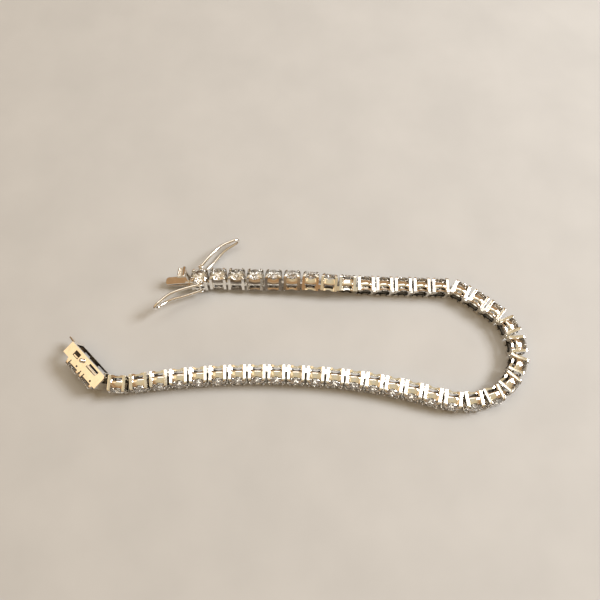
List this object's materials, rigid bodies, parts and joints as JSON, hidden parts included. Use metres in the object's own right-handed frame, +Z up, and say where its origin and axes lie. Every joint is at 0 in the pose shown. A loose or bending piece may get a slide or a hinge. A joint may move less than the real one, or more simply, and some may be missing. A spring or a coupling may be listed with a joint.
{
  "type": "tennis bracelet",
  "caption": "Open tennis bracelet of hinged four-prong basket settings with round stones, spring tongue, box clasp and two hinged wire safety latches, lying on its side.",
  "frame": {"origin": "centre of the bracelet's outline, on the surface it lies on", "axes": "+X from the open clasp end towards the closed end of the loop, +Y across the loop towards the tongue's row, +Z up from the surface"},
  "size_m": [0.1012, 0.041, 0.006],
  "materials": {
    "silver": "bright polished white metal",
    "stones": "faceted clear stone"
  },
  "bodies": {
    "root": {"tongue_link": "silver", "tongue_stone": "stones", "link_01": "silver", "link_02": "silver", "link_03": "silver", "link_04": "silver", "link_05": "silver", "link_06": "silver", "link_07": "silver", "link_08": "silver", "link_09": "silver", "link_10": "silver", "link_11": "silver", "link_12": "silver", "link_13": "silver", "link_14": "silver", "link_15": "silver", "link_16": "silver", "link_17": "silver", "link_18": "silver", "link_19": "silver", "link_20": "silver", "link_21": "silver", "link_22": "silver", "link_23": "silver", "link_24": "silver", "link_25": "silver", "link_26": "silver", "link_27": "silver", "link_28": "silver", "link_29": "silver", "link_30": "silver", "link_31": "silver", "link_32": "silver", "link_33": "silver", "link_34": "silver", "link_35": "silver", "link_36": "silver", "link_37": "silver", "link_38": "silver", "link_39": "silver", "link_40": "silver", "box_clasp": "silver", "box_stone_1": "stones", "box_stone_2": "stones"},
    "latch_far": {"latch_far": "silver"},
    "latch_near": {"latch_near": "silver"},
    "tongue_spring": {"tongue_spring": "silver"}
  },
  "joints": [
    {"name": "latch_far_swing", "type": "hinge", "parent": "root", "child": "latch_far", "pos_m": [-0.02217, 0.01255, 0.00241], "axis": [-0.1726, 0.2057, 0.9633], "range_deg": [-25, 125]},
    {"name": "latch_near_swing", "type": "hinge", "parent": "root", "child": "latch_near", "pos_m": [-0.02219, 0.00756, 0.00348], "axis": [0.0011, 0.2079, 0.9781], "range_deg": [-21, 130]},
    {"name": "tongue_squeeze", "type": "hinge", "parent": "root", "child": "tongue_spring", "pos_m": [-0.03043, 0.00982, 0.00164], "axis": [0.0051, 0.9781, -0.2079], "range_deg": [0, 7.5], "stiffness_Nm_per_rad": 0.05}
  ]
}
